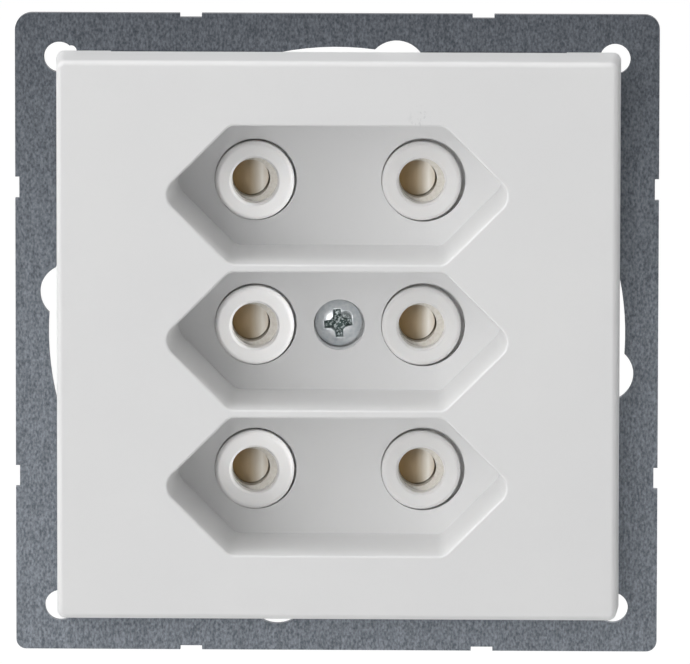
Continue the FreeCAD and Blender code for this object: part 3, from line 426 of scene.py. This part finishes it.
def in_cross(across, up):
    """How far a spot on the head lies inside the cross: 0 outside, 1 at its bottom."""
    along = abs(up * math.cos(CROSS_TURN) - across * math.sin(CROSS_TURN))
    beside = abs(across * math.cos(CROSS_TURN) + up * math.sin(CROSS_TURN))
    inside = CROSS_MIDDLE - math.hypot(across, up)
    for far, near in ((along, beside), (beside, along)):
        wall = CROSS_HALF - CROSS_TAPER * far / CROSS_REACH - near
        inside = max(inside, min(wall, CROSS_REACH - far))
    share = min(max(inside / CROSS_EDGE, 0.0), 1.0)
    return share * share * (3.0 - 2.0 * share)


# The cross and the scar are pressed into the dome, and how far each spot is
# sunk is kept as an attribute, which the material reads for painted shade with pale flecks.
sunk_shade = {}
for vert in grown.verts:
    across = vert.co.x - axis_x
    up = vert.co.z - axis_z
    out = math.hypot(across, up)
    if vert.co.y > top + DOME_RISE or out > CROSS_REACH + CROSS_EDGE:
        continue
    cross = in_cross(across, up)
    scar = max(1.0 - math.hypot(across - SCAR_RIGHT, up - SCAR_UP) / SCAR_RADIUS, 0.0)
    cross_sink = CROSS_DEPTH * cross * (1.0 - CROSS_RISE * out / CROSS_REACH)
    scar_sink = SCAR_DEPTH * min(SCAR_STEEP * scar, 1.0)
    vert.co.y += max(cross_sink, scar_sink)
    sunk_shade[vert.index] = max(cross, min(SCAR_SHADE_STEEP * scar, SCAR_PAINTED_SHADE))

mesh = bpy.data.meshes.new("screw_head")
grown.to_mesh(mesh)
grown.free()
mesh.shade_smooth()
recess = mesh.attributes.new("recess", "FLOAT", "POINT")
for index, share in sunk_shade.items():
    recess.data[index].value = share
screw = bpy.data.objects.new("cover_screw_piece", mesh)
bpy.context.scene.collection.objects.link(screw)

bright, tree, shader, place = finish("zinc_dome", SCREW_ZINC, DOME_ROUGH, 1.0)
wear = grain(tree, place, *DOME_WEAR)
skin = ramp(tree, wear, DOME_SPAN, DOME_DULL, DOME_BRIGHT)
# Painted shade, dark with pale flecks, is laid over the plated skin where the cross and the scar are
# sunk.
flecks = ramp(tree, grain(tree, place, *FLECKS), FLECK_SPAN, FLECK_DARK, FLECK_PALE)
sunken = tree.nodes.new("ShaderNodeAttribute")
sunken.attribute_name = "recess"
tree.links.new(blended(tree, "MIX", sunken.outputs["Fac"], skin, flecks), shader.inputs["Base Color"])
roughened(tree, shader, wear, DOME_ROUGH_RANGE)
bumped(tree, shader, wear, *DOME_RELIEF)
mesh.materials.append(bright)
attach(screw, "root")
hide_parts("cover_screw")


# Stage: a pale floor well below the socket, which hangs by its frame as on a
# wall. It gives its own light to the camera alone, so that it shows white.

FLOOR_DROP = 0.16
FLOOR_HALF = 3.0
FLOOR_PALE = (0.9, 0.9, 0.9, 1.0)
FLOOR_ROUGH = 0.9
FLOOR_GLOW = 1.10
FLOOR_SHOWN = 0.9

mesh = bpy.data.meshes.new("floor")
grown = bmesh.new()
bmesh.ops.create_grid(grown, x_segments=1, y_segments=1, size=FLOOR_HALF)
bmesh.ops.translate(grown, vec=(0.0, 0.0, cad_box[0][2] - FLOOR_DROP), verts=grown.verts)
grown.to_mesh(mesh)
grown.free()
floor = bpy.data.objects.new("floor", mesh)
bpy.context.scene.collection.objects.link(floor)
pale, tree, shader, place = finish("floor_pale", FLOOR_PALE, FLOOR_ROUGH)
path = tree.nodes.new("ShaderNodeLightPath")
glow = node(tree, "ShaderNodeEmission", Strength=FLOOR_GLOW)
share = tree.nodes.new("ShaderNodeMath")
share.operation = "MULTIPLY"
share.inputs[1].default_value = FLOOR_SHOWN
shown = tree.nodes.new("ShaderNodeMixShader")
tree.links.new(path.outputs["Is Camera Ray"], share.inputs[0])
tree.links.new(share.outputs["Value"], shown.inputs["Fac"])
tree.links.new(shader.outputs["BSDF"], shown.inputs[1])
tree.links.new(glow.outputs["Emission"], shown.inputs[2])
tree.links.new(shown.outputs["Shader"], tree.nodes["Material Output"].inputs["Surface"])
mesh.materials.append(pale)


# Surroundings: white to the camera and in reflections, and dark otherwise, so
# that all light on the socket comes from the lamps.

WORLD_WHITE = (1.0, 1.0, 1.0, 1.0)
WORLD_SHOWN = 1.0
WORLD_LIGHT = 0.0

world = bpy.data.worlds.new("studio")
bpy.context.scene.world = world
world.use_nodes = True
tree = world.node_tree
tree.nodes.clear()
path = tree.nodes.new("ShaderNodeLightPath")
light = node(tree, "ShaderNodeBackground", Color=WORLD_WHITE, Strength=WORLD_LIGHT)
shown = node(tree, "ShaderNodeBackground", Color=WORLD_WHITE, Strength=WORLD_SHOWN)
mix = tree.nodes.new("ShaderNodeMixShader")
seen = path.outputs["Is Camera Ray"]
for kind in ("Is Glossy Ray", "Is Transmission Ray"):
    either = tree.nodes.new("ShaderNodeMath")
    either.operation = "MAXIMUM"
    tree.links.new(seen, either.inputs[0])
    tree.links.new(path.outputs[kind], either.inputs[1])
    seen = either.outputs["Value"]
surface = tree.nodes.new("ShaderNodeOutputWorld").inputs["Surface"]
tree.links.new(seen, mix.inputs["Fac"])
tree.links.new(light.outputs["Background"], mix.inputs[1])
tree.links.new(shown.outputs["Background"], mix.inputs[2])
tree.links.new(mix.outputs["Shader"], surface)


# Lamps: a large soft key from the upper left with smaller cards round it. A
# beam lights the collars in the shade of the left points, and a card lights
# the contacts in the pin holes, as the room does in a real studio.

SOCKET_MIDDLE = (0.0, 0.0, 0.0)

# Each card is its place, its side and its watts.
CARDS = {
    "key": ((-0.80, -0.92, 0.45), 1.60, 12.4),
    "key_upper": ((-0.75, -0.75, 0.75), 1.00, 2.2),
    "left": ((-1.13, -0.65, 0.10), 1.00, 0.6),
    "top": ((-0.35, -0.15, 1.24), 0.80, 5.6),
    "right_edge": ((1.30, -0.02, 0.05), 0.60, 4.0),
    "top_edge": ((0.0, -0.02, 1.30), 0.60, 2.2),
}
BORE_CARD = ((-0.60, -1.13, 0.10), 0.34, 6.3)
BEAM_FROM = (1.07, -0.70, 0.12)
BEAM_TO = (-9.25 * MM, 4.6 * MM, 0.0)
BEAM_WATTS = 38.0
BEAM_ANGLE = math.radians(1.8)
BEAM_BLEND = 0.3
BEAM_SOFT = 5.0 * MM


def lamp(name, kind, spot, watts, towards):
    """A lamp that looks at a point."""
    made = bpy.data.objects.new(name, bpy.data.lights.new(name, kind))
    made.data.energy = watts
    made.location = spot
    made.rotation_euler = (Vector(towards) - Vector(spot)).to_track_quat("-Z", "Y").to_euler()
    bpy.context.scene.collection.objects.link(made)
    return made


def card(name, spot, side, watts):
    """A soft square lamp that looks at the socket."""
    made = lamp(name, "AREA", spot, watts, SOCKET_MIDDLE)
    made.data.size = side
    return made


def light_only(made, *names):
    """Keep a lamp's light to some of the CAD nodes."""
    lit = bpy.data.collections.new(f"{made.name}_lights")
    for name in names:
        lit.objects.link(NODES[name])
    made.light_linking.receiver_collection = lit


for name, setting in CARDS.items():
    card(name, *setting)
beam = lamp("collar_beam", "SPOT", BEAM_FROM, BEAM_WATTS, BEAM_TO)
beam.data.spot_size = BEAM_ANGLE
beam.data.spot_blend = BEAM_BLEND
beam.data.shadow_soft_size = BEAM_SOFT
light_only(beam, "front_housing")
light_only(card("bore_card", *BORE_CARD), "contact_carrier", *SLEEVES)


# Camera: a long lens, a little above the socket and a little to its right. It
# is shifted so that the socket stands in the frame as it does in the photo.

IMAGE_WIDTH = 690
IMAGE_HEIGHT = 664
CENTRE_X = 336.75
CENTRE_Y = 333.2
FOCAL_PIXELS = 11615.0
SENSOR = 36.0
ELEVATION = math.radians(8.3)
AZIMUTH = math.radians(1.2)
ROLL = math.radians(0.08)
DISTANCE = 1.283
CAMERA_AIM = Vector((0.0, -1.0 * MM, 0.0))
CLIP_NEAR = 0.05
CLIP_FAR = 20.0

outward = Vector((math.sin(AZIMUTH) * math.cos(ELEVATION),
                  -math.cos(AZIMUTH) * math.cos(ELEVATION),
                  math.sin(ELEVATION)))
lens = bpy.data.cameras.new("camera")
lens.sensor_width = SENSOR
lens.lens = FOCAL_PIXELS / IMAGE_WIDTH * SENSOR
lens.shift_x = (IMAGE_WIDTH / 2 - CENTRE_X) / IMAGE_WIDTH
lens.shift_y = (CENTRE_Y - IMAGE_HEIGHT / 2) / IMAGE_WIDTH
lens.clip_start = CLIP_NEAR
lens.clip_end = CLIP_FAR
camera = bpy.data.objects.new("camera", lens)
place = Matrix.Translation(CAMERA_AIM + outward * DISTANCE)
turn = (-outward).to_track_quat("-Z", "Y").to_matrix().to_4x4()
camera.matrix_world = place @ turn @ Matrix.Rotation(ROLL, 4, "Z")
bpy.context.scene.collection.objects.link(camera)
bpy.context.scene.camera = camera
bpy.context.scene.view_settings.view_transform = "Standard"
